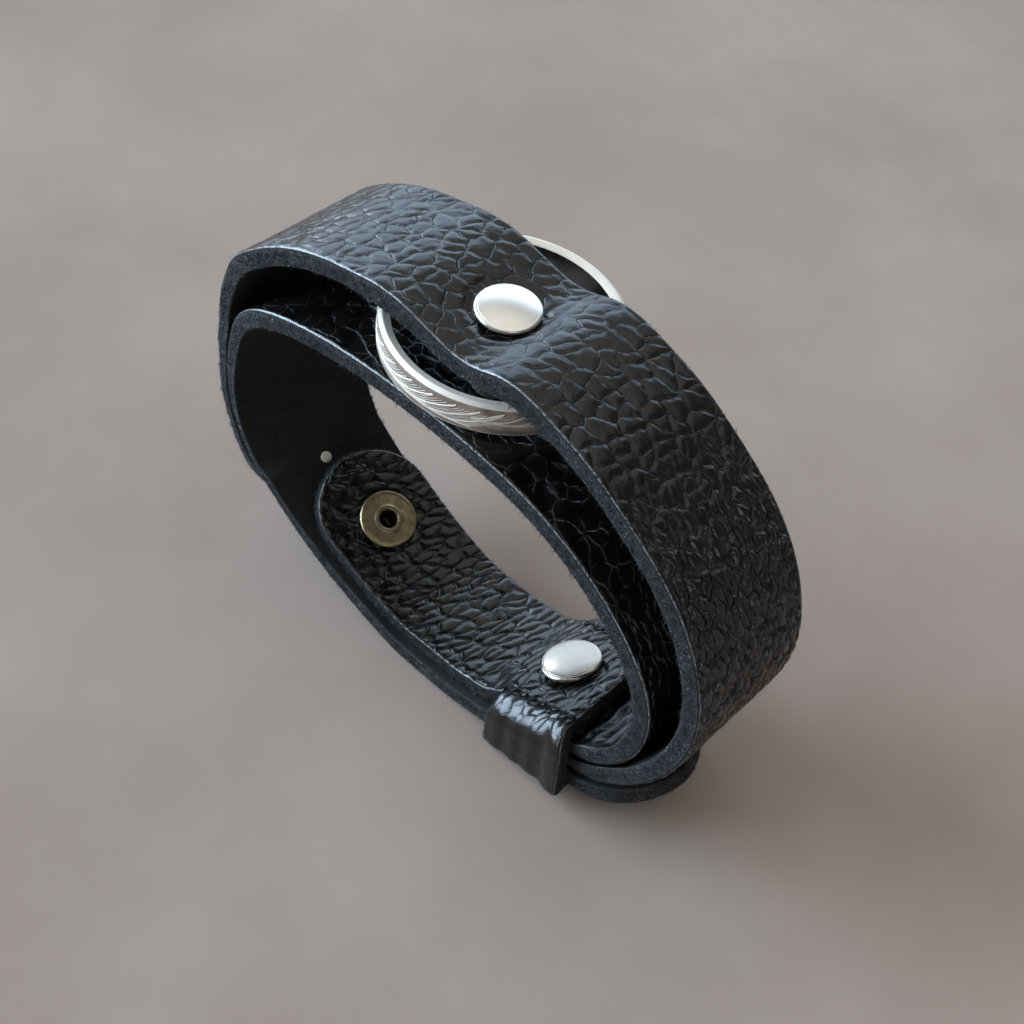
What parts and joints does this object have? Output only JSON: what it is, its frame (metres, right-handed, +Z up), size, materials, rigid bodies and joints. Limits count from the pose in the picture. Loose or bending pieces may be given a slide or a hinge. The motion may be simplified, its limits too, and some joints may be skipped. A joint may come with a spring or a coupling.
{
  "type": "leather wrap bracelet",
  "caption": "Closed leather wrap bracelet: two riveted bands round an open wrist hollow, snap tab with keeper, and an engraved metal ring caught between the bands.",
  "frame": {"origin": "middle of the bottom of the whole bracelet's box, on the surface it stands on", "axes": "+Z up; +X along the bracelet's side view, from the outer band's riveted end towards the closure; +Y across the bands, towards the side where the ring sticks out furthest"},
  "size_m": [0.0724, 0.0262, 0.0535],
  "materials": {
    "black_leather": "black pebbled grain with a soft shine, rough fibrous cut edges",
    "engraved_steel": "engraved leaf pattern, darkened in the cuts, polished rim",
    "polished_steel": "polished, lightly worn",
    "aged_brass": "aged, satin"
  },
  "bodies": {
    "root": {"outer_strap": "black_leather", "inner_strap": "black_leather", "snap_tab": "black_leather", "ring": "engraved_steel", "top_rivet": "polished_steel", "closure_rivet": "polished_steel", "end_rivet": "polished_steel", "tab_eyelet": "aged_brass", "snap_socket": "aged_brass"}
  },
  "joints": []
}
